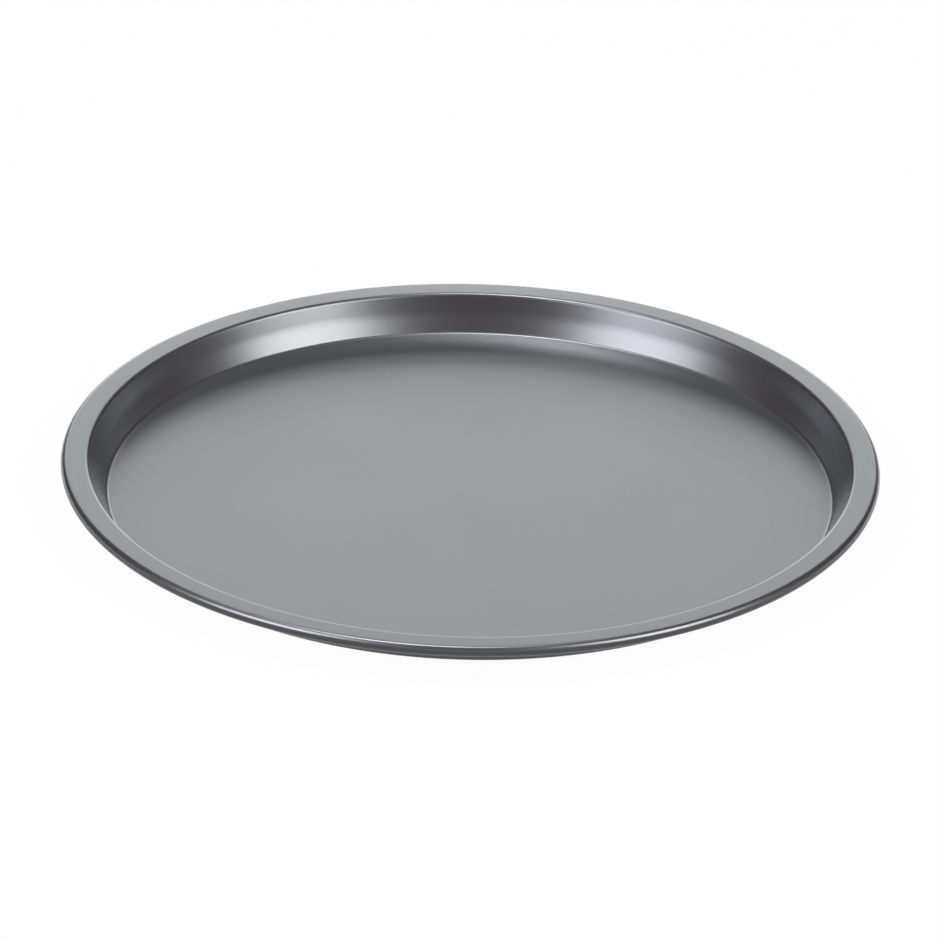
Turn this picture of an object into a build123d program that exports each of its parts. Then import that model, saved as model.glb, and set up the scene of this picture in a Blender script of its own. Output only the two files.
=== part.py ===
"""A round pizza pan, pressed from one steel sheet, with its rim rolled round a steel wire.

Seen in section from the middle outwards, the sheet runs flat as the floor, turns up through
a fillet into a leaning wall that grows steeper as it rises, rolls over a bend into a flat rim,
and curls down and round a ring of wire at its edge. The wire keeps the thin rim round, and the
curl hides the sheet's cut edge.

Frame: the origin is the centre of the underside of the floor, where the pan stands. +Z is up.
Units are millimetres.
"""

import os
from math import asin, atan2, cos, degrees, hypot, sin, tan

from build123d import *

# Driving sizes of the pressed sheet. The floor's diameter, the wall's spread and the rim's
# width are taken between the corners that the food side would have with no fillet or bend.
sheet_thickness = 0.6
floor_diameter = 292.6
inside_depth = 14.3
wall_spread = 7.9
rim_width = 10.8
floor_fillet_radius = 2.0
mouth_bend_radius = 1.8

# The wall isn't straight. Half way up, a soft knee stands out from the line between its ends.
wall_bow = 0.4
wall_bow_radius = 40.0

# Driving sizes of the wire, and of the curl that holds it.
wire_diameter = 3.2
wire_clearance = 0.1
wire_end_gap = 1.0
curl_edge_gap = 0.3

# The food side's corners, and the outside of the whole pan.
floor_radius = floor_diameter / 2
mouth_radius = floor_radius + wall_spread
rim_radius = mouth_radius + rim_width
overall_height = inside_depth + sheet_thickness

# How steep the wall is from end to end, below its knee and above it, in radians from the floor.
wall_slope = atan2(inside_depth, wall_spread)
knee_turn = atan2(wall_bow, hypot(inside_depth, wall_spread) / 2)
lower_slope = wall_slope - knee_turn
upper_slope = wall_slope + knee_turn

# The curl's centre, which is the wire's too, just under the rim's top face.
curl_inner_radius = wire_diameter / 2 + wire_clearance
curl_outer_radius = curl_inner_radius + sheet_thickness
curl_centre_radius = rim_radius - curl_outer_radius
curl_centre_height = overall_height - curl_outer_radius


def pressed_line(depth):
    """The sheet in section from the pan's axis to the top of the curl, this deep under the food side."""
    # Every stretch of the line keeps its slope at any depth, so each corner shifts to where the
    # two stretches beside it meet.
    floor_height = sheet_thickness - depth
    rim_height = overall_height - depth
    knee_shift = wall_bow + depth / cos(knee_turn)
    return FilletPolyline(
        (0, floor_height),
        (floor_radius + depth * tan(lower_slope / 2), floor_height),
        (
            (floor_radius + mouth_radius) / 2 + knee_shift * sin(wall_slope),
            sheet_thickness + inside_depth / 2 - knee_shift * cos(wall_slope),
        ),
        (mouth_radius + depth * tan(upper_slope / 2), rim_height),
        (curl_centre_radius, rim_height),
        radius=[floor_fillet_radius + depth, wall_bow_radius + depth, mouth_bend_radius - depth],
    )


def curled_line(radius):
    """One face of the curl in section, from its top, over the outer edge, under the wire and back up."""
    # The curl turns three quarters of a circle to reach the wire's inner side. From there it
    # rises until its outer face is the edge gap short of the underside of the rim.
    edge_rise = curl_inner_radius - curl_edge_gap
    turn = 270 + degrees(asin(edge_rise / curl_outer_radius))
    return CenterArc((curl_centre_radius, curl_centre_height), radius, 90, -turn)


def pressed_pan():
    """The pan: floor, wall, rim and curl, pressed and curled from one sheet."""
    food_side = pressed_line(0)
    underside = pressed_line(sheet_thickness)
    outside_of_curl = curled_line(curl_outer_radius)
    inside_of_curl = curled_line(curl_inner_radius)
    cut_edge = Line(outside_of_curl @ 1, inside_of_curl @ 1)
    axis_edge = Line(underside @ 0, food_side @ 0)
    section = make_face([food_side, outside_of_curl, cut_edge, inside_of_curl, underside, axis_edge])
    return revolve(Plane.XZ * section, Axis.Z)


def rim_wire():
    """The ring of wire inside the curl, bent from straight stock, so its two ends face each other."""
    section = Pos(curl_centre_radius, curl_centre_height) * Circle(wire_diameter / 2)
    gap_turn = degrees(wire_end_gap / curl_centre_radius)
    return revolve(Plane.XZ * section, Axis.Z, 360 - gap_turn)


os.makedirs("parts", exist_ok=True)
for name, piece in {"pressed_pan": pressed_pan(), "rim_wire": rim_wire()}.items():
    export_step(piece, f"parts/{name}.step")
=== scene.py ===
"""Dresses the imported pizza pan: its coated sheet, the wire rolled into its rim, and the studio round it.

Everything is in metres in the CAD frame. The origin is the centre of the pan's underside, where it
stands, +Z is up, and the photograph looks along +Y.
"""

import logging
import math
from dataclasses import dataclass
from enum import Enum

import bpy
from mathutils import Matrix, Vector


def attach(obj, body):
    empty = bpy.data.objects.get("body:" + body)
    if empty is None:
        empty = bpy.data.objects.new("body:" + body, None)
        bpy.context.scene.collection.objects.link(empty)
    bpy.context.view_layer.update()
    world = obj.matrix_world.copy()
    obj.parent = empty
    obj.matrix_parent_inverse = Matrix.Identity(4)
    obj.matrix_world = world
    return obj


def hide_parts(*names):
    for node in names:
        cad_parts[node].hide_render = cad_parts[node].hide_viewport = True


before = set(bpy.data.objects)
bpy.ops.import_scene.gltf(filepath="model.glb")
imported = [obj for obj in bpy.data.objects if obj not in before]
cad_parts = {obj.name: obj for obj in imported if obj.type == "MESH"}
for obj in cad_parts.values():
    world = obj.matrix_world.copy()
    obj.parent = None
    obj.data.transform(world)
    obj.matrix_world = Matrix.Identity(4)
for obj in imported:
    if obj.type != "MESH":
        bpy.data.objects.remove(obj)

LOG = logging.getLogger("pizza_pan")
ROOT_BODY = "root"

# Lengths are written in the unit that a pan maker uses, and microns for what the coating does.
MM = 0.001
MICRON = 0.000001


class Part(Enum):
    """The CAD nodes that the pieces here stand for."""

    PRESSED_PAN = "pressed_pan"
    RIM_WIRE = "rim_wire"


class Slot(Enum):
    """The record's material slots."""

    NONSTICK_COATING = "nonstick_coating"
    WIRE_STEEL = "wire_steel"


class Side(Enum):
    """The two sides of the sheet, as the pan's inputs name them."""

    FOOD = "Food Side"
    UNDER = "Underside"


# The attributes that say how much of the pale coat a point carries rather than the dark one, and how
# much the die rubbed the sheet there as it was drawn, both from 0 to 1.
PALE_COAT, IRONED = "pale_coat", "ironed"

# The places along the sheet's line in section, as the pan's inputs name them.
LINE_PLACES = ("Axis", "Floor Corner", "Wall Knee", "Mouth Corner", "Curl Top")

# A Mix node's colour sockets come after those of the other kinds, under the same names.
MIX_A, MIX_B, MIX_RESULT = 6, 7, 2

# Nearly all of a noise lies between these values, and most of a cell pattern is nearer than this to
# the middle of a cell, counted in cells.
NOISE_LOW, NOISE_HIGH = 0.3, 0.7
CELL_REACH = 0.8

WHITE = "#FFFFFF"

NodeSource = bpy.types.NodeSocket | float | int | bool | str | tuple | bpy.types.Material
Size = float | int | tuple | bpy.types.Material

# The kind of socket that holds each kind of size.
SOCKETS = {
    float: "NodeSocketFloat",
    int: "NodeSocketInt",
    tuple: "NodeSocketVector",
    bpy.types.Material: "NodeSocketMaterial",
}


def linear(colour: str) -> tuple[float, float, float, float]:
    """Turns an sRGB hex colour to the linear values that a socket takes.

    Args:
        colour: Six hex digits after a hash, such as "#8C9196".

    Returns:
        Red, green, blue and an alpha of 1.
    """
    shares = (int(colour[i : i + 2], 16) / 255 for i in (1, 3, 5))
    red, green, blue = (s / 12.92 if s <= 0.04045 else ((s + 0.055) / 1.055) ** 2.4 for s in shares)
    return red, green, blue, 1.0


def add_node(
    tree: bpy.types.NodeTree, kind: str, links: dict[str | int, NodeSource] | None = None, **settings: object
) -> bpy.types.Node:
    """Adds a node to a tree, with its settings and links.

    Args:
        tree: The tree that gets the node.
        kind: The node's type, by its identifier.
        links: For an input, by name or place, the output that feeds it or the value that it holds.
        **settings: The node's own properties.

    Returns:
        The new node.
    """
    node = tree.nodes.new(kind)
    for name, value in settings.items():
        setattr(node, name, value)
    for key, source in (links or {}).items():
        if isinstance(source, bpy.types.NodeSocket):
            tree.links.new(source, node.inputs[key])
        else:
            node.inputs[key].default_value = source
    return node


def emptied_tree(owner: bpy.types.Material | bpy.types.World) -> bpy.types.NodeTree:
    """Gives a material's or the world's own node tree, with no node in it."""
    owner.use_nodes = True
    owner.node_tree.nodes.clear()
    return owner.node_tree


def direction(round_pan: float, up: float) -> Vector:
    """Gives the direction from the pan to a place in the studio.

    Args:
        round_pan: Degrees round the pan from the camera's side.
        up: Degrees above the floor.

    Returns:
        A vector of length 1.
    """
    a, e = math.radians(round_pan), math.radians(up)
    return Vector((math.sin(a) * math.cos(e), -math.cos(a) * math.cos(e), math.sin(e)))


def geometry_tree(name: str, sizes: dict[str, Size]) -> tuple[bpy.types.NodeTree, bpy.types.NodeOutputs]:
    """Starts a geometry node tree that makes its own geometry from named inputs.

    Args:
        name: The tree's name.
        sizes: A value for each named input, which says what kind of input it is.

    Returns:
        The tree and its inputs, as the outputs of its Group Input node.
    """
    tree = bpy.data.node_groups.new(name, "GeometryNodeTree")
    for label, value in sizes.items():
        kind = next(socket for held, socket in SOCKETS.items() if isinstance(value, held))
        tree.interface.new_socket(label, in_out="INPUT", socket_type=kind)
    tree.interface.new_socket("Mesh", in_out="OUTPUT", socket_type="NodeSocketGeometry")
    return tree, add_node(tree, "NodeGroupInput").outputs


def creased_mesh(
    tree: bpy.types.NodeTree, mesh: bpy.types.NodeSocket, sharp_angle: bpy.types.NodeSocket
) -> bpy.types.NodeSocket:
    """Adds the nodes that shade a mesh smooth, except over its sharp edges.

    Args:
        tree: The tree that gets the nodes.
        mesh: The mesh as it is so far.
        sharp_angle: The angle from which on an edge is sharp, in radians.

    Returns:
        The shaded mesh.
    """
    smooth = add_node(tree, "GeometryNodeSetShadeSmooth", {"Geometry": mesh, "Shade Smooth": True})
    angle = add_node(tree, "GeometryNodeInputMeshEdgeAngle").outputs["Unsigned Angle"]
    sharp = add_node(tree, "ShaderNodeMath", {0: angle, 1: sharp_angle}, operation="GREATER_THAN")
    return add_node(
        tree,
        "GeometryNodeSetShadeSmooth",
        {"Geometry": smooth.outputs[0], "Selection": sharp.outputs[0], "Shade Smooth": False},
        domain="EDGE",
    ).outputs[0]


def end_tree(tree: bpy.types.NodeTree, mesh: bpy.types.NodeSocket, finish: bpy.types.NodeSocket) -> None:
    """Ends a geometry node tree with a real mesh that carries its material.

    Args:
        tree: The tree to end.
        mesh: The finished mesh.
        finish: The input that holds the material.
    """
    real = add_node(tree, "GeometryNodeRealizeInstances", {"Geometry": mesh})
    dressed = add_node(tree, "GeometryNodeSetMaterial", {"Geometry": real.outputs[0], "Material": finish})
    add_node(tree, "NodeGroupOutput", {"Mesh": dressed.outputs[0]})


def grown_object(name: str, tree: bpy.types.NodeTree, sizes: dict[str, Size]) -> bpy.types.Object:
    """Makes an object whose mesh comes from a geometry node tree.

    Args:
        name: The object's name, while it is being made.
        tree: The tree.
        sizes: The value of each of the tree's named inputs.

    Returns:
        The object, with its one modifier set and not yet evaluated.
    """
    made = bpy.data.objects.new(f"{name}_in_making", bpy.data.meshes.new(f"{name}_in_making"))
    modifier = made.modifiers.new(tree.name, "NODES")
    modifier.node_group = tree
    for item in tree.interface.items_tree:
        if item.item_type == "SOCKET" and item.in_out == "INPUT":
            modifier[item.identifier] = sizes[item.name]
    bpy.context.scene.collection.objects.link(made)
    return made


def keep_piece(name: str, made: bpy.types.Object, part: Part) -> bpy.types.Object:
    """Turns what an object's modifiers make into a plain piece, and sets it on the CAD frame.

    Args:
        name: The piece's name.
        made: The object with the modifiers. It is removed.
        part: The CAD node that the piece stands for.

    Returns:
        The piece, at the origin and with no modifiers.
    """
    depsgraph = bpy.context.evaluated_depsgraph_get()
    depsgraph.update()
    seen = made.evaluated_get(depsgraph)
    mesh = bpy.data.meshes.new_from_object(seen, preserve_all_data_layers=True, depsgraph=depsgraph)
    bpy.data.objects.remove(made)
    mesh.name = name
    piece = bpy.data.objects.new(name, mesh)
    bpy.context.scene.collection.objects.link(piece)
    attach(piece, ROOT_BODY)
    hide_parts(part.value)
    triangles = sum(len(face.vertices) - 2 for face in mesh.polygons)
    LOG.info("%s: %d vertices, %d triangles", name, len(mesh.vertices), triangles)
    return piece


@dataclass(frozen=True)
class NonstickCoating:
    """Non-stick coating: PTFE resin with aluminium flake, sprayed on the sheet and baked.

    The flake lies flat in the resin, so the coating shines like a soft grey metal, and lights are
    seen in it as wide, even glows with no sharp edge. The spray leaves a faint orange peel. Faces that
    look up or inwards carry the pale coat, and faces that look down or outwards a smooth, dark coat,
    so the rolled edge is dark from its shoulder round to the underside.
    """

    name: str = "sprayed and baked PTFE non-stick with aluminium flake"
    # The pale coat, as sprayed on the flats and where the die has ironed the sheet under it.
    top_colour: str = "#A5ABAE"
    top_metallic: float = 0.9
    flat_roughness: float = 0.36
    ironed_roughness: float = 0.3
    # The dark coat, on the faces that look down or outwards.
    base_colour: str = "#3E3F42"
    base_metallic: float = 0.1
    base_roughness: float = 0.3
    # The orange peel, from crest to crest and from crest to hollow.
    peel_width: float = 2.6 * MM
    peel_depth: float = 3 * MICRON
    # Real flakes are about 0.04 mm across. They are drawn as coarse as a pixel of the render.
    flake_width: float = 0.35 * MM
    flake_contrast: float = 0.05
    # The spray passes leave slow changes of gloss across the pan.
    pass_width: float = 45 * MM
    pass_contrast: float = 0.01

    def colour(
        self, tree: bpy.types.NodeTree, place: bpy.types.NodeSocket, coat: bpy.types.NodeSocket
    ) -> bpy.types.NodeSocket:
        """Adds the nodes of the coating's colour, which glints from flake to flake in the pale coat.

        Args:
            tree: The material's tree.
            place: The point's place on the piece.
            coat: How much of the pale coat it carries, rather than the dark one.

        Returns:
            The colour.
        """
        flakes = add_node(tree, "ShaderNodeTexVoronoi", {"Vector": place, "Scale": 1 / self.flake_width})
        shade = add_node(
            tree,
            "ShaderNodeMapRange",
            {
                "Value": flakes.outputs["Distance"],
                "From Min": 0.0,
                "From Max": CELL_REACH,
                "To Min": 1 + self.flake_contrast,
                "To Max": 1 - self.flake_contrast,
            },
        )
        flaked = add_node(
            tree,
            "ShaderNodeVectorMath",
            {0: linear(self.top_colour)[:3], "Scale": shade.outputs["Result"]},
            operation="SCALE",
        )
        return add_node(
            tree,
            "ShaderNodeMix",
            {"Factor": coat, MIX_A: linear(self.base_colour), MIX_B: flaked.outputs["Vector"]},
            data_type="RGBA",
        ).outputs[MIX_RESULT]

    def roughness(
        self, tree: bpy.types.NodeTree, place: bpy.types.NodeSocket, coat: bpy.types.NodeSocket
    ) -> bpy.types.NodeSocket:
        """Adds the nodes of the coating's roughness, which drifts a little with the spray passes.

        Args:
            tree: The material's tree.
            place: The point's place on the piece.
            coat: How much of the pale coat it carries, rather than the dark one.

        Returns:
            The roughness.
        """
        ironed = add_node(tree, "ShaderNodeAttribute", attribute_name=IRONED).outputs["Fac"]
        top = add_node(
            tree,
            "ShaderNodeMapRange",
            {"Value": ironed, "To Min": self.flat_roughness, "To Max": self.ironed_roughness},
        )
        even = add_node(
            tree,
            "ShaderNodeMapRange",
            {"Value": coat, "To Min": self.base_roughness, "To Max": top.outputs["Result"]},
        )
        passes = add_node(
            tree, "ShaderNodeTexNoise", {"Vector": place, "Scale": 1 / self.pass_width, "Detail": 2.0}
        )
        drift = add_node(
            tree,
            "ShaderNodeMapRange",
            {
                "Value": passes.outputs["Fac"],
                "From Min": NOISE_LOW,
                "From Max": NOISE_HIGH,
                "To Min": -self.pass_contrast,
                "To Max": self.pass_contrast,
            },
        )
        return add_node(
            tree, "ShaderNodeMath", {0: even.outputs["Result"], 1: drift.outputs["Result"]}, operation="ADD"
        ).outputs["Value"]

    def material(self) -> bpy.types.Material:
        """Builds the coating's material.

        Returns:
            The material, which reads the two attributes of the sheet and Object coordinates.
        """
        made = bpy.data.materials.new(self.name)
        tree = emptied_tree(made)
        place = add_node(tree, "ShaderNodeTexCoord").outputs["Object"]
        coat = add_node(tree, "ShaderNodeAttribute", attribute_name=PALE_COAT).outputs["Fac"]
        metallic = add_node(
            tree,
            "ShaderNodeMapRange",
            {"Value": coat, "To Min": self.base_metallic, "To Max": self.top_metallic},
        )
        peel = add_node(
            tree, "ShaderNodeTexNoise", {"Vector": place, "Scale": 1 / self.peel_width, "Detail": 1.0}
        )
        bump = add_node(
            tree,
            "ShaderNodeBump",
            {"Strength": 1.0, "Distance": self.peel_depth, "Height": peel.outputs["Fac"]},
        )
        surface = add_node(
            tree,
            "ShaderNodeBsdfPrincipled",
            {
                "Base Color": self.colour(tree, place, coat),
                "Metallic": metallic.outputs["Result"],
                "Roughness": self.roughness(tree, place, coat),
                "Normal": bump.outputs["Normal"],
            },
        )
        add_node(tree, "ShaderNodeOutputMaterial", {"Surface": surface.outputs["BSDF"]})
        return made


@dataclass(frozen=True)
class DrawnWireSteel:
    """Mild steel wire, pulled cold through a die and left bare.

    The die leaves fine bright lines along the wire, so its highlight is drawn out round the ring.
    """

    name: str = "cold drawn mild steel wire"
    colour: str = "#B9B6B0"
    line_colour: str = "#8F8B84"
    roughness: float = 0.34
    line_width: float = 0.12 * MM
    line_depth: float = 2 * MICRON

    def material(self) -> bpy.types.Material:
        """Builds the wire's material.

        Returns:
            The material, whose lines run round the ring at one radius and height.
        """
        made = bpy.data.materials.new(self.name)
        tree = emptied_tree(made)
        place = add_node(tree, "ShaderNodeTexCoord").outputs["Object"]
        flat = add_node(tree, "ShaderNodeVectorMath", {0: place, 1: (1, 1, 0)}, operation="MULTIPLY")
        reach = add_node(tree, "ShaderNodeVectorMath", {0: flat.outputs["Vector"]}, operation="LENGTH")
        height = add_node(tree, "ShaderNodeSeparateXYZ", {"Vector": place})
        across = add_node(
            tree, "ShaderNodeCombineXYZ", {"X": reach.outputs["Value"], "Y": height.outputs["Z"]}
        )
        lines = add_node(
            tree,
            "ShaderNodeTexNoise",
            {"Vector": across.outputs["Vector"], "Scale": 1 / self.line_width, "Detail": 3.0},
        )
        colour = add_node(
            tree,
            "ShaderNodeMix",
            {"Factor": lines.outputs["Fac"], MIX_A: linear(self.line_colour), MIX_B: linear(self.colour)},
            data_type="RGBA",
        )
        bump = add_node(
            tree,
            "ShaderNodeBump",
            {"Strength": 1.0, "Distance": self.line_depth, "Height": lines.outputs["Fac"]},
        )
        surface = add_node(
            tree,
            "ShaderNodeBsdfPrincipled",
            {
                "Base Color": colour.outputs[MIX_RESULT],
                "Metallic": 1.0,
                "Roughness": self.roughness,
                "Normal": bump.outputs["Normal"],
            },
        )
        add_node(tree, "ShaderNodeOutputMaterial", {"Surface": surface.outputs["BSDF"]})
        return made


@dataclass
class PressedPan:
    """The pan itself: floor, wall, rim and rolled edge, pressed and curled from one sheet.

    The sizes are those of the CAD source. The sheet's section is drawn once for its food side and
    once for its underside, each as a line with three rounded bends and a curl, and is turned round
    the pan's axis.
    """

    thickness: float = 0.6 * MM
    floor_radius: float = 146.3 * MM
    inside_depth: float = 14.3 * MM
    wall_spread: float = 7.9 * MM
    rim_width: float = 10.8 * MM
    floor_fillet: float = 2.0 * MM
    mouth_bend: float = 1.8 * MM
    # Half way up the wall, a soft knee stands out from the line between its ends.
    wall_bow: float = 0.4 * MM
    wall_bow_radius: float = 40.0 * MM
    wire_diameter: float = 3.2 * MM
    wire_clearance: float = 0.1 * MM
    curl_edge_gap: float = 0.3 * MM
    # How finely the mesh follows the shape.
    corner_steps: int = 10
    curl_steps: int = 28
    floor_rings: int = 6
    turn_steps: int = 288
    weld: float = 0.004 * MM
    sharp_angle: float = 40.0
    # A face takes the pale coat by how far up it looks, less this share of how far outwards it looks.
    # It is all dark coat up to the first of the two results below, and all pale coat from the second on.
    spray_shadow: float = 0.6
    spray_bare: float = -0.25
    spray_full: float = -0.05
    # How far up a face looks where the die only presses it, and where it irons it.
    pressed_facing: float = 0.99
    ironed_facing: float = 0.9

    @property
    def curl_inner(self) -> float:
        """The radius inside the curl."""
        return self.wire_diameter / 2 + self.wire_clearance

    @property
    def curl_outer(self) -> float:
        """The radius outside the curl."""
        return self.curl_inner + self.thickness

    @property
    def curl_centre(self) -> tuple[float, float]:
        """How far the curl's centre is from the pan's axis, and how high."""
        rim_radius = self.floor_radius + self.wall_spread + self.rim_width
        return rim_radius - self.curl_outer, self.inside_depth + self.thickness - self.curl_outer

    def line_points(self, depth: float) -> list[tuple[float, float, float]]:
        """Gives the points of the sheet's line in section, this deep under the food side.

        Args:
            depth: How deep the line lies under the food side.

        Returns:
            The pan's axis, the floor's corner, the wall's knee, the mouth's corner and the top of the
            curl, in the XY plane, with X from the axis and Y up.
        """
        slope = math.atan2(self.inside_depth, self.wall_spread)
        turn = math.atan2(self.wall_bow, math.hypot(self.inside_depth, self.wall_spread) / 2)
        mouth_radius = self.floor_radius + self.wall_spread
        low, high = self.thickness - depth, self.inside_depth + self.thickness - depth
        shift = self.wall_bow + depth / math.cos(turn)
        knee_radius = (self.floor_radius + mouth_radius) / 2 + shift * math.sin(slope)
        knee_height = self.thickness + self.inside_depth / 2 - shift * math.cos(slope)
        return [
            (0.0, low, 0.0),
            (self.floor_radius + depth * math.tan((slope - turn) / 2), low, 0.0),
            (knee_radius, knee_height, 0.0),
            (mouth_radius + depth * math.tan((slope + turn) / 2), high, 0.0),
            (self.curl_centre[0], high, 0.0),
        ]

    def sizes(self, coating: bpy.types.Material) -> dict[str, Size]:
        """Gives the value of each named input of the pan's tree.

        Args:
            coating: The material of the whole sheet.

        Returns:
            The values, by the inputs' names.
        """
        edge_rise = self.curl_inner - self.curl_edge_gap
        radius, height = self.curl_centre
        lines = {
            f"{side.value} {place}": point
            for side, depth in ((Side.FOOD, 0.0), (Side.UNDER, self.thickness))
            for place, point in zip(LINE_PLACES, self.line_points(depth))
        }
        return lines | {
            "Sheet Thickness": self.thickness,
            "Floor Fillet": self.floor_fillet,
            "Wall Bow Radius": self.wall_bow_radius,
            "Mouth Bend": self.mouth_bend,
            "Curl Radius": self.curl_outer,
            "Curl Centre Radius": radius,
            "Curl Centre Height": height,
            "Curl Turn": math.radians(270) + math.asin(edge_rise / self.curl_outer),
            "Corner Steps": self.corner_steps,
            "Curl Steps": self.curl_steps,
            "Floor Rings": self.floor_rings,
            "Turn Steps": self.turn_steps,
            "Weld Distance": self.weld,
            "Sharp Angle": math.radians(self.sharp_angle),
            "Coating": coating,
        }

    def pressed_line(
        self, tree: bpy.types.NodeTree, size: bpy.types.NodeOutputs, side: Side, depth: NodeSource
    ) -> bpy.types.NodeSocket:
        """Adds the nodes of the sheet's line in section, from the pan's axis to the top of the curl.

        Args:
            tree: The pan's tree.
            size: The tree's named inputs.
            side: The side of the sheet that the line is the section of.
            depth: How deep the line lies under the food side.

        Returns:
            The line, in the XY plane, with X from the axis and Y up.
        """
        # The floor's fillet and the wall's knee have their centres on the food side, and the
        # mouth's bend has its own behind the sheet.
        fillet, knee, bend = (
            add_node(tree, "ShaderNodeMath", {0: size[name], 1: depth}, operation=operation).outputs[0]
            for name, operation in (
                ("Floor Fillet", "ADD"),
                ("Wall Bow Radius", "ADD"),
                ("Mouth Bend", "SUBTRACT"),
            )
        )
        # Each point of the line takes its place, and the radius of its bend, by its number.
        number = add_node(tree, "GeometryNodeInputIndex").outputs[0]
        places = [size[f"{side.value} {name}"] for name in LINE_PLACES]
        chosen = []
        for kind, values in (("VECTOR", places), ("FLOAT", [0.0, fillet, knee, bend, 0.0])):
            choice = add_node(tree, "GeometryNodeIndexSwitch", {"Index": number}, data_type=kind)
            while len(choice.index_switch_items) < len(values):
                choice.index_switch_items.new()
            for i, value in enumerate(values):
                if isinstance(value, bpy.types.NodeSocket):
                    tree.links.new(value, choice.inputs[str(i)])
                else:
                    choice.inputs[str(i)].default_value = value
            chosen.append(choice.outputs[0])
        position, radius = chosen
        points = add_node(tree, "GeometryNodePoints", {"Count": len(LINE_PLACES), "Position": position})
        line = add_node(tree, "GeometryNodePointsToCurves", {"Points": points.outputs[0]})
        rounded = add_node(
            tree,
            "GeometryNodeFilletCurve",
            {"Curve": line.outputs[0], "Count": size["Corner Steps"], "Radius": radius},
            mode="POLY",
        )
        # The flat of the floor, which is the first stretch, is divided into rings.
        first = add_node(tree, "ShaderNodeMath", {0: number, 1: 0.0, 2: 0.5}, operation="COMPARE")
        rings = add_node(
            tree, "ShaderNodeMath", {0: first.outputs[0], 1: size["Floor Rings"]}, operation="MULTIPLY"
        )
        return add_node(
            tree, "GeometryNodeSubdivideCurve", {"Curve": rounded.outputs[0], "Cuts": rings.outputs[0]}
        ).outputs[0]

    def curl_arc(
        self, tree: bpy.types.NodeTree, size: bpy.types.NodeOutputs, radius: NodeSource
    ) -> bpy.types.NodeSocket:
        """Adds the nodes of one face of the curl in section, about its own centre.

        Args:
            tree: The pan's tree.
            size: The tree's named inputs.
            radius: The face's radius.

        Returns:
            The arc, from its top over the outer edge and under the wire to the sheet's cut edge.
        """
        sweep = add_node(tree, "ShaderNodeMath", {0: size["Curl Turn"], 1: -1.0}, operation="MULTIPLY")
        return add_node(
            tree,
            "GeometryNodeCurveArc",
            {
                "Resolution": size["Curl Steps"],
                "Radius": radius,
                "Start Angle": math.radians(90),
                "Sweep Angle": sweep.outputs[0],
            },
            mode="RADIUS",
        ).outputs[0]

    def curl(self, tree: bpy.types.NodeTree, size: bpy.types.NodeOutputs) -> bpy.types.NodeSocket:
        """Adds the nodes of the whole curl in section: both its faces and the sheet's cut edge.

        Args:
            tree: The pan's tree.
            size: The tree's named inputs.

        Returns:
            The curl's lines, where they lie in the pan's section.
        """
        outer = size["Curl Radius"]
        inner = add_node(
            tree, "ShaderNodeMath", {0: outer, 1: size["Sheet Thickness"]}, operation="SUBTRACT"
        ).outputs[0]
        inside = add_node(tree, "GeometryNodeReverseCurve", {"Curve": self.curl_arc(tree, size, inner)})
        edge_start = add_node(tree, "ShaderNodeCombineXYZ", {"X": outer})
        edge_end = add_node(tree, "ShaderNodeCombineXYZ", {"X": inner})
        edge = add_node(
            tree,
            "GeometryNodeCurvePrimitiveLine",
            {"Start": edge_start.outputs[0], "End": edge_end.outputs[0]},
        )
        edge_turn = add_node(
            tree, "ShaderNodeMath", {0: math.radians(90), 1: size["Curl Turn"]}, operation="SUBTRACT"
        )
        rotation = add_node(tree, "ShaderNodeCombineXYZ", {"Z": edge_turn.outputs[0]})
        cut_edge = add_node(
            tree, "GeometryNodeTransform", {"Geometry": edge.outputs[0], "Rotation": rotation.outputs[0]}
        )
        joined = add_node(tree, "GeometryNodeJoinGeometry")
        for part in (self.curl_arc(tree, size, outer), cut_edge.outputs[0], inside.outputs[0]):
            tree.links.new(part, joined.inputs[0])
        centre = add_node(
            tree, "ShaderNodeCombineXYZ", {"X": size["Curl Centre Radius"], "Y": size["Curl Centre Height"]}
        )
        return add_node(
            tree, "GeometryNodeTransform", {"Geometry": joined.outputs[0], "Translation": centre.outputs[0]}
        ).outputs[0]

    def turned_sheet(self, tree: bpy.types.NodeTree, size: bpy.types.NodeOutputs) -> bpy.types.NodeSocket:
        """Adds the nodes that draw the sheet's section and turn it round the pan's axis.

        Args:
            tree: The pan's tree.
            size: The tree's named inputs.

        Returns:
            The sheet's mesh, a closed shell.
        """
        # The section is traced one way round, so the underside's line runs back.
        food_side = self.pressed_line(tree, size, Side.FOOD, 0.0)
        underside = add_node(
            tree,
            "GeometryNodeReverseCurve",
            {"Curve": self.pressed_line(tree, size, Side.UNDER, size["Sheet Thickness"])},
        )
        section = add_node(tree, "GeometryNodeJoinGeometry")
        for part in (food_side, self.curl(tree, size), underside.outputs[0]):
            tree.links.new(part, section.inputs[0])

        # The section is swept round a circle through the curl's centre. Along it, a profile's X
        # points away from the axis and its Y down, so the section is shifted and turned over.
        circle = add_node(
            tree,
            "GeometryNodeCurvePrimitiveCircle",
            {"Resolution": size["Turn Steps"], "Radius": size["Curl Centre Radius"]},
            mode="RADIUS",
        )
        inward = add_node(
            tree, "ShaderNodeMath", {0: size["Curl Centre Radius"], 1: -1.0}, operation="MULTIPLY"
        )
        to_circle = add_node(tree, "ShaderNodeCombineXYZ", {"X": inward.outputs[0]})
        profile = add_node(
            tree,
            "GeometryNodeTransform",
            {
                "Geometry": section.outputs[0],
                "Translation": to_circle.outputs[0],
                "Rotation": (math.radians(180), 0.0, 0.0),
            },
        )
        swept = add_node(
            tree,
            "GeometryNodeCurveToMesh",
            {"Curve": circle.outputs[0], "Profile Curve": profile.outputs[0]},
        )
        # The lines' ends meet, and so do all the points on the axis. Welding closes the shell.
        return add_node(
            tree,
            "GeometryNodeMergeByDistance",
            {"Geometry": swept.outputs[0], "Distance": size["Weld Distance"]},
        ).outputs[0]

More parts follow.
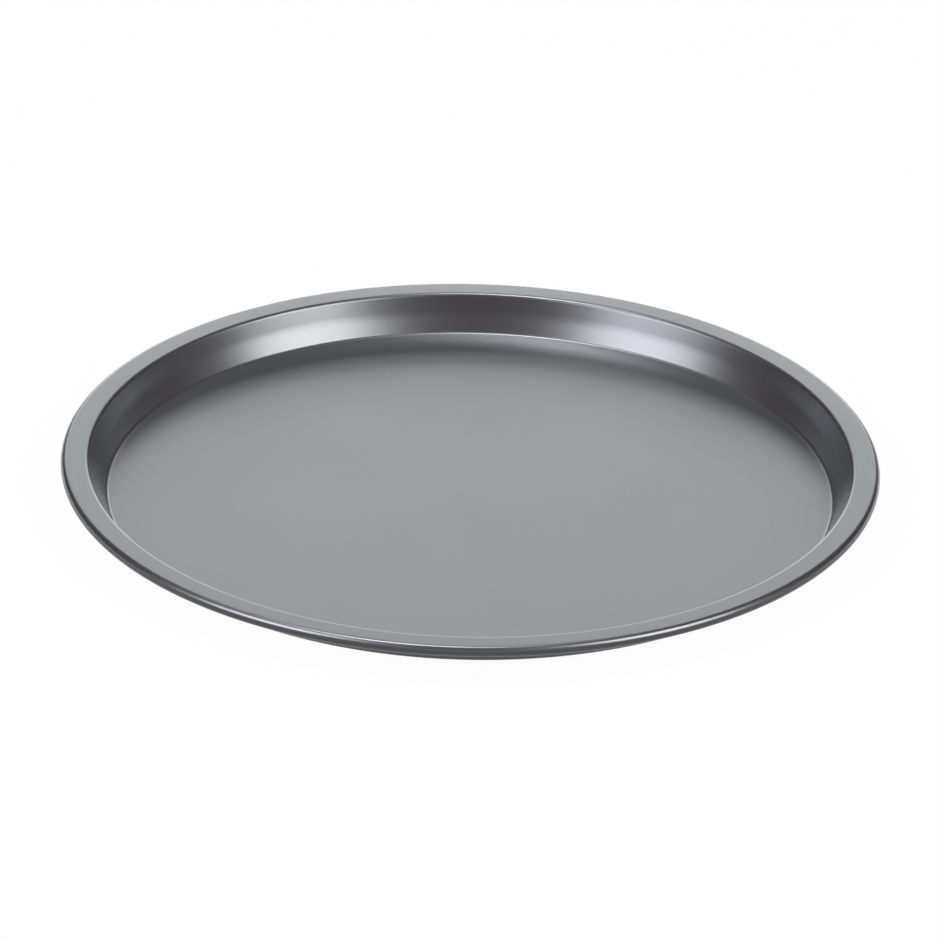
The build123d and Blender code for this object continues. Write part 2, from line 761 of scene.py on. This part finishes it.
    def sprayed_and_ironed(
        self, tree: bpy.types.NodeTree, mesh: bpy.types.NodeSocket
    ) -> bpy.types.NodeSocket:
        """Adds the nodes that mark where the sheet has its pale coat rather than the dark one, and where the
        die ironed it.

        Args:
            tree: The pan's tree.
            mesh: The sheet's mesh.

        Returns:
            The mesh with its two attributes.
        """
        normal = add_node(tree, "GeometryNodeInputNormal").outputs[0]
        facing = add_node(tree, "ShaderNodeSeparateXYZ", {"Vector": normal}).outputs["Z"]
        # The pale coat covers every face that looks up or inwards, and gives way to the dark coat on the
        # shoulder of the rolled edge, where the sheet turns away outwards, and on the outside and underside.
        place = add_node(tree, "GeometryNodeInputPosition").outputs[0]
        level = add_node(tree, "ShaderNodeVectorMath", {0: place, 1: (1, 1, 0)}, operation="MULTIPLY")
        outward = add_node(tree, "ShaderNodeVectorMath", {0: level.outputs[0]}, operation="NORMALIZE")
        turned = add_node(
            tree, "ShaderNodeVectorMath", {0: normal, 1: outward.outputs[0]}, operation="DOT_PRODUCT"
        )
        away = add_node(tree, "ShaderNodeMath", {0: turned.outputs["Value"], 1: 0.0}, operation="MAXIMUM")
        missed = add_node(
            tree, "ShaderNodeMath", {0: away.outputs[0], 1: self.spray_shadow}, operation="MULTIPLY"
        )
        met = add_node(tree, "ShaderNodeMath", {0: facing, 1: missed.outputs[0]}, operation="SUBTRACT")
        sprayed = add_node(
            tree,
            "ShaderNodeMapRange",
            {"Value": met.outputs[0], "From Min": self.spray_bare, "From Max": self.spray_full},
        )
        # The die irons the wall and its bends smooth, and only presses on the floor and the rim.
        ironed = add_node(
            tree,
            "ShaderNodeMapRange",
            {"Value": facing, "From Min": self.pressed_facing, "From Max": self.ironed_facing},
        )
        for name, share in ((PALE_COAT, sprayed), (IRONED, ironed)):
            mesh = add_node(
                tree,
                "GeometryNodeStoreNamedAttribute",
                {"Geometry": mesh, "Name": name, "Value": share.outputs["Result"]},
                data_type="FLOAT",
                domain="POINT",
            ).outputs[0]
        return mesh

    def build(self, coating: NonstickCoating) -> bpy.types.Object:
        """Builds the pan and dresses it.

        Args:
            coating: The finish of the whole sheet.

        Returns:
            The piece.
        """
        sizes = self.sizes(coating.material())
        tree, size = geometry_tree("pressed pan", sizes)
        creased = creased_mesh(tree, self.turned_sheet(tree, size), size["Sharp Angle"])
        end_tree(tree, self.sprayed_and_ironed(tree, creased), size["Coating"])
        made = grown_object(Part.PRESSED_PAN.value, tree, sizes)
        # A flat's wide faces give their normals to its edges, so the flats shine as flats.
        weighted = made.modifiers.new("flats stay flat", "WEIGHTED_NORMAL")
        weighted.keep_sharp = True
        return keep_piece("coated_pressed_pan", made, Part.PRESSED_PAN)


@dataclass
class RimWire:
    """The ring of wire inside the rolled edge, bent from straight stock, so its two ends face each other."""

    wire_diameter: float = 3.2 * MM
    end_gap: float = 1.0 * MM
    turn_steps: int = 240
    round_steps: int = 24
    sharp_angle: float = 40.0

    def sizes(self, centre: tuple[float, float], steel: bpy.types.Material) -> dict[str, Size]:
        """Gives the value of each named input of the wire's tree.

        Args:
            centre: How far the wire's centre is from the pan's axis, and how high.
            steel: The wire's material.

        Returns:
            The values, by the inputs' names.
        """
        radius, height = centre
        return {
            "Ring Radius": radius,
            "Ring Height": height,
            "Wire Radius": self.wire_diameter / 2,
            "Ring Turn": math.tau - self.end_gap / radius,
            "Turn Steps": self.turn_steps,
            "Round Steps": self.round_steps,
            "Sharp Angle": math.radians(self.sharp_angle),
            "Steel": steel,
        }

    def bent_wire(self, tree: bpy.types.NodeTree, size: bpy.types.NodeOutputs) -> bpy.types.NodeSocket:
        """Adds the nodes that draw the wire round its ring.

        Args:
            tree: The wire's tree.
            size: The tree's named inputs.

        Returns:
            The wire's mesh, closed at its two ends.
        """
        ring = add_node(
            tree,
            "GeometryNodeCurveArc",
            {
                "Resolution": size["Turn Steps"],
                "Radius": size["Ring Radius"],
                "Start Angle": 0.0,
                "Sweep Angle": size["Ring Turn"],
            },
            mode="RADIUS",
        )
        section = add_node(
            tree,
            "GeometryNodeCurvePrimitiveCircle",
            {"Resolution": size["Round Steps"], "Radius": size["Wire Radius"]},
            mode="RADIUS",
        )
        drawn = add_node(
            tree,
            "GeometryNodeCurveToMesh",
            {"Curve": ring.outputs[0], "Profile Curve": section.outputs[0], "Fill Caps": True},
        )
        height = add_node(tree, "ShaderNodeCombineXYZ", {"Z": size["Ring Height"]})
        return add_node(
            tree, "GeometryNodeTransform", {"Geometry": drawn.outputs[0], "Translation": height.outputs[0]}
        ).outputs[0]

    def build(self, centre: tuple[float, float], steel: DrawnWireSteel) -> bpy.types.Object:
        """Builds the wire and dresses it.

        Args:
            centre: How far the wire's centre is from the pan's axis, and how high.
            steel: The wire's finish.

        Returns:
            The piece.
        """
        sizes = self.sizes(centre, steel.material())
        tree, size = geometry_tree("rim wire", sizes)
        creased = creased_mesh(tree, self.bent_wire(tree, size), size["Sharp Angle"])
        end_tree(tree, creased, size["Steel"])
        made = grown_object(Part.RIM_WIRE.value, tree, sizes)
        return keep_piece("steel_rim_wire", made, Part.RIM_WIRE)


@dataclass(frozen=True)
class Softbox:
    """A soft rectangular lamp that faces the pan. Its brightness is 1 for a white as bright as paper."""

    name: str
    round_pan: float
    up: float
    distance: float
    width: float
    height: float
    brightness: float
    tint: str = WHITE

    def build(self) -> bpy.types.Object:
        """Hangs the lamp.

        Returns:
            The lamp.
        """
        lamp = bpy.data.lights.new(self.name, "AREA")
        lamp.shape = "RECTANGLE"
        lamp.size, lamp.size_y = self.width, self.height
        # A quarter of an area lamp's power, shared over its area, is how bright its face looks.
        lamp.energy = 4 * self.width * self.height * self.brightness
        lamp.color = linear(self.tint)[:3]
        hung = bpy.data.objects.new(self.name, lamp)
        away = direction(self.round_pan, self.up)
        turn = away.to_track_quat("Z", "Y").to_matrix().to_4x4()
        hung.matrix_world = Matrix.Translation(away * self.distance) @ turn
        hung.visible_camera = False
        bpy.context.scene.collection.objects.link(hung)
        return hung


@dataclass(frozen=True)
class Opening:
    """An opening in the black cloth, through which the coating mirrors the white studio."""

    middle: float
    width: float
    low: float
    high: float

    def holds(self, round_pan: float, up: float) -> bool:
        """Says whether a direction goes out through the opening."""
        aside = (round_pan - self.middle + 180) % 360 - 180
        return abs(aside) < self.width / 2 and self.low < up < self.high


@dataclass
class Studio:
    """The floor, the lamps, the black cloth that the coating mirrors, and the white round them."""

    floor_side: float = 8.0
    floor_drop: float = 0.05 * MM
    floor_colour: str = "#F4F4F4"
    # How much of the background's white the floor has where it is looked at or mirrored.
    floor_lift: float = 0.97
    ambient: float = 0.45
    cloth_radius: float = 3.4
    # The cloth is nearly black, with the warm cast that the photograph's dark reflections have.
    cloth_colour: str = "#2C111D"
    cloth_step: float = 5.0
    softboxes: tuple[Softbox, ...] = (
        # The first two are the bands of light on the far wall, each seen on the other side.
        Softbox(
            "right_softbox",
            round_pan=58.5,
            up=39,
            distance=1.7,
            width=1.02,
            height=1.05,
            brightness=2.26,
            tint="#FDFAF8",
        ),
        Softbox(
            "left_softbox",
            round_pan=-59.3,
            up=39,
            distance=1.7,
            width=0.98,
            height=1.05,
            brightness=2.14,
            tint="#FDF9FF",
        ),
        # The overhead one draws a thin bright line in the floor's fillet, and the back one lights the
        # floor and the rim.
        Softbox(
            "overhead_softbox", round_pan=-148, up=76, distance=1.6, width=0.58, height=0.42, brightness=4.5
        ),
        Softbox(
            "back_softbox", round_pan=180, up=11, distance=3.2, width=1.85, height=1.2, brightness=1.66
        ),
    )
    openings: tuple[Opening, ...] = (Opening(middle=180, width=34, low=21, high=30),)

    def seen_or_mirrored(self, tree: bpy.types.NodeTree) -> bpy.types.NodeSocket:
        """Adds the nodes that tell looking at the background, straight or mirrored, from its light.

        Args:
            tree: A material's tree or the world's.

        Returns:
            1 for a ray that looks at the background, and 0 for one that takes light from it.
        """
        ray = add_node(tree, "ShaderNodeLightPath").outputs
        direct = add_node(
            tree, "ShaderNodeMath", {0: ray["Is Camera Ray"], 1: ray["Is Glossy Ray"]}, operation="MAXIMUM"
        )
        return add_node(
            tree, "ShaderNodeMath", {0: direct.outputs[0], 1: ray["Is Transmission Ray"]}, operation="MAXIMUM"
        ).outputs[0]

    def build_floor(self) -> bpy.types.Object:
        """Lays the pale floor, just under the pan.

        Returns:
            The floor.
        """
        half = self.floor_side / 2
        outline = [(-half, -half), (half, -half), (half, half), (-half, half)]
        mesh = bpy.data.meshes.new("studio_floor")
        mesh.from_pydata([(x, y, -self.floor_drop) for x, y in outline], [], [(0, 1, 2, 3)])
        material = bpy.data.materials.new("white painted studio floor")
        tree = emptied_tree(material)
        lift = add_node(
            tree, "ShaderNodeMath", {0: self.seen_or_mirrored(tree), 1: self.floor_lift}, operation="MULTIPLY"
        )
        paint = add_node(tree, "ShaderNodeBsdfDiffuse", {"Color": linear(self.floor_colour)})
        white = add_node(tree, "ShaderNodeEmission", {"Color": linear(WHITE), "Strength": 1.0})
        mixed = add_node(
            tree, "ShaderNodeMixShader", {0: lift.outputs[0], 1: paint.outputs[0], 2: white.outputs[0]}
        )
        add_node(tree, "ShaderNodeOutputMaterial", {"Surface": mixed.outputs[0]})
        mesh.materials.append(material)
        floor = bpy.data.objects.new("studio_floor", mesh)
        bpy.context.scene.collection.objects.link(floor)
        return floor

    def build_cloth(self) -> bpy.types.Object:
        """Hangs the black cloth, a dome that is only there for what mirrors it.

        Returns:
            The cloth.
        """
        turns = {i * self.cloth_step for i in range(round(360 / self.cloth_step))}
        ups = {i * self.cloth_step for i in range(round(90 / self.cloth_step) + 1)}
        for opening in self.openings:
            turns |= {(opening.middle + side * opening.width / 2) % 360 for side in (-1, 1)}
            ups |= {opening.low, opening.high}
        ring, rows = sorted(turns), sorted(ups)
        points = [direction(a, e) * self.cloth_radius for e in rows for a in ring]
        faces = []
        for row in range(len(rows) - 1):
            for column, start in enumerate(ring):
                after = (column + 1) % len(ring)
                middle = start + ((ring[after] - start) % 360) / 2
                if any(o.holds(middle, (rows[row] + rows[row + 1]) / 2) for o in self.openings):
                    continue
                low, high = row * len(ring), (row + 1) * len(ring)
                faces.append((low + after, low + column, high + column, high + after))
        mesh = bpy.data.meshes.new("black_cloth")
        mesh.from_pydata(points, [], faces)
        material = bpy.data.materials.new("black studio cloth")
        tree = emptied_tree(material)
        dark = add_node(tree, "ShaderNodeEmission", {"Color": linear(self.cloth_colour), "Strength": 1.0})
        add_node(tree, "ShaderNodeOutputMaterial", {"Surface": dark.outputs[0]})
        mesh.materials.append(material)
        cloth = bpy.data.objects.new("black_cloth", mesh)
        cloth.visible_camera = cloth.visible_diffuse = cloth.visible_shadow = False
        bpy.context.scene.collection.objects.link(cloth)
        return cloth

    def build_world(self) -> bpy.types.World:
        """Sets the world: white where it is seen or mirrored, and an even soft light otherwise.

        Returns:
            The world.
        """
        world = bpy.data.worlds.new("white_studio")
        tree = emptied_tree(world)
        light, white = (
            add_node(tree, "ShaderNodeBackground", {"Color": linear(WHITE), "Strength": strength})
            for strength in (self.ambient, 1.0)
        )
        mixed = add_node(
            tree,
            "ShaderNodeMixShader",
            {0: self.seen_or_mirrored(tree), 1: light.outputs[0], 2: white.outputs[0]},
        )
        add_node(tree, "ShaderNodeOutputWorld", {"Surface": mixed.outputs[0]})
        bpy.context.scene.world = world
        return world

    def build(self) -> None:
        """Builds the whole studio."""
        self.build_floor()
        self.build_cloth()
        self.build_world()
        for softbox in self.softboxes:
            softbox.build()
        LOG.info("studio: floor, black cloth and %d softboxes", len(self.softboxes))


@dataclass(frozen=True)
class PhotographCamera:
    """The camera that took the photograph: a long lens, a little above the pan and barely rolled."""

    distance: float = 11.57
    up: float = 26.58
    roll: float = 1.3
    lens: float = 1099.7
    sensor: float = 36.0
    # Where the camera looks: beside the axis and above the floor's food side, across its view.
    aside: float = -0.13 * MM
    above: float = 9.9 * MM
    food_side: float = 0.6 * MM
    # How near and how far it sees.
    near: float = 0.1
    far: float = 30.0

    def build(self) -> bpy.types.Object:
        """Places the camera and makes it the scene's.

        Returns:
            The camera.
        """
        data = bpy.data.cameras.new("photograph_camera")
        data.lens, data.sensor_width = self.lens, self.sensor
        data.clip_start, data.clip_end = self.near, self.far
        camera = bpy.data.objects.new("photograph_camera", data)
        back = direction(0, self.up)
        right = Vector((1, 0, 0))
        upward = back.cross(right)
        axes = Matrix((right, upward, back)).transposed().to_4x4()
        centre = Vector((0, 0, self.food_side))
        place = centre + back * self.distance + right * self.aside + upward * self.above
        roll = Matrix.Rotation(math.radians(self.roll), 4, "Z")
        camera.matrix_world = Matrix.Translation(place) @ axes @ roll
        bpy.context.scene.collection.objects.link(camera)
        bpy.context.scene.camera = camera
        LOG.info("camera: %.0f mm lens, %.2f m away, %.1f degrees up", self.lens, self.distance, self.up)
        return camera


def main() -> None:
    """Builds the pan, its wire, the studio and the camera, and notes the sizes."""
    logging.basicConfig(level=logging.INFO, format="%(name)s %(message)s")
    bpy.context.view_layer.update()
    bpy.context.scene.view_settings.view_transform = "Standard"
    PhotographCamera().build()
    pan = PressedPan()
    pan.build(NonstickCoating())
    RimWire(wire_diameter=pan.wire_diameter).build(pan.curl_centre, DrawnWireSteel())
    Studio().build()


if __name__ == "__main__":
    main()
